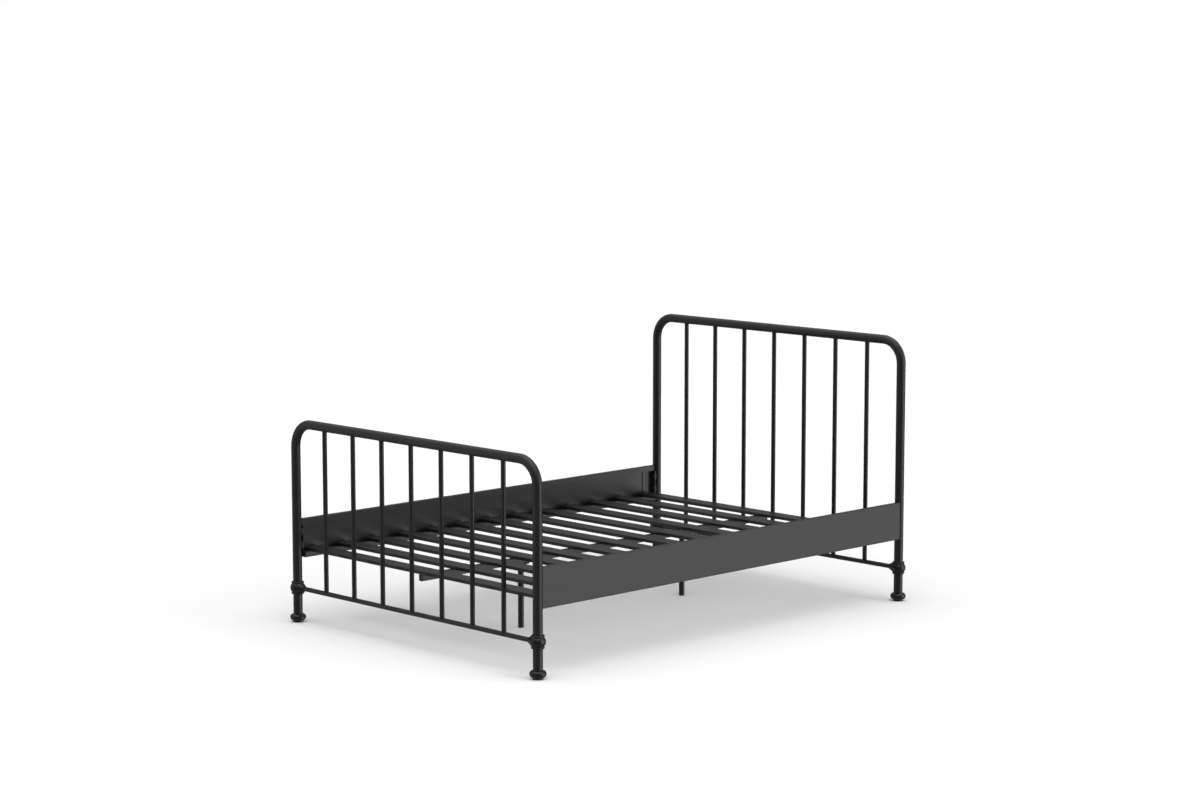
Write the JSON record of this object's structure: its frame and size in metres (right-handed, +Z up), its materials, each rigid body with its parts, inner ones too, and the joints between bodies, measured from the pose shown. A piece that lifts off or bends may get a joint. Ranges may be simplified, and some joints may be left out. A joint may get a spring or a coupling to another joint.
{
  "type": "metal bed frame",
  "caption": "Double bed frame of black tube: hooped headboard and footboard with spindles, cast knuckles and bun feet, flat side rails, steel slats and a centre beam on legs.",
  "frame": {"origin": "on the floor, in the middle of the four posts", "axes": "+X to the right seen from the foot end, +Y from the footboard to the headboard, +Z up"},
  "size_m": [1.5008, 2.1498, 1.125],
  "materials": {
    "black_powder_coat": "matt black powder coat with a very fine texture",
    "cast_black": "matt black powder coat over a casting",
    "black_plastic": "moulded black plastic, lightly grained",
    "black_hardware": "black zinc"
  },
  "bodies": {
    "bed_frame": {"centre_beam": "black_powder_coat", "foot_end_centre_leg": "black_powder_coat", "footboard_hoop": "black_powder_coat", "footboard_left_bun_foot": "cast_black", "footboard_left_corner_bracket": "black_powder_coat", "footboard_left_knuckle": "cast_black", "footboard_lower_rail": "black_powder_coat", "footboard_right_bun_foot": "cast_black", "footboard_right_corner_bracket": "black_powder_coat", "footboard_right_knuckle": "cast_black", "footboard_spindle_1": "black_powder_coat", "footboard_spindle_2": "black_powder_coat", "footboard_spindle_3": "black_powder_coat", "footboard_spindle_4": "black_powder_coat", "footboard_spindle_5": "black_powder_coat", "footboard_spindle_6": "black_powder_coat", "footboard_spindle_7": "black_powder_coat", "head_end_centre_leg": "black_powder_coat", "headboard_hoop": "black_powder_coat", "headboard_left_bun_foot": "cast_black", "headboard_left_corner_bracket": "black_powder_coat", "headboard_left_knuckle": "cast_black", "headboard_lower_rail": "black_powder_coat", "headboard_right_bun_foot": "cast_black", "headboard_right_corner_bracket": "black_powder_coat", "headboard_right_knuckle": "cast_black", "headboard_spindle_1": "black_powder_coat", "headboard_spindle_2": "black_powder_coat", "headboard_spindle_3": "black_powder_coat", "headboard_spindle_4": "black_powder_coat", "headboard_spindle_5": "black_powder_coat", "headboard_spindle_6": "black_powder_coat", "headboard_spindle_7": "black_powder_coat", "left_side_rail": "black_powder_coat", "left_slat_ledge": "black_powder_coat", "leg_plates": "black_powder_coat", "leg_screws": "black_hardware", "post_thread_inserts": "black_hardware", "rail_bolts": "black_hardware", "rail_saddles": "black_plastic", "right_side_rail": "black_powder_coat", "right_slat_ledge": "black_powder_coat", "slat_01": "black_powder_coat", "slat_02": "black_powder_coat", "slat_03": "black_powder_coat", "slat_04": "black_powder_coat", "slat_05": "black_powder_coat", "slat_06": "black_powder_coat", "slat_07": "black_powder_coat", "slat_08": "black_powder_coat", "slat_09": "black_powder_coat", "slat_10": "black_powder_coat", "slat_11": "black_powder_coat", "slat_12": "black_powder_coat", "slat_13": "black_powder_coat", "slat_centre_clips": "black_plastic", "slat_end_caps": "black_plastic", "tube_end_plugs": "black_plastic"},
    "foot_end_levelling_foot_body": {"foot_end_levelling_foot": "black_plastic"},
    "head_end_levelling_foot_body": {"head_end_levelling_foot": "black_plastic"}
  },
  "joints": [
    {"name": "foot_end_levelling_foot_screw", "type": "slide", "parent": "bed_frame", "child": "foot_end_levelling_foot_body", "axis": [0, 0, 1], "range_m": [-0.012, 0]},
    {"name": "head_end_levelling_foot_screw", "type": "slide", "parent": "bed_frame", "child": "head_end_levelling_foot_body", "axis": [0, 0, 1], "range_m": [-0.012, 0]}
  ]
}
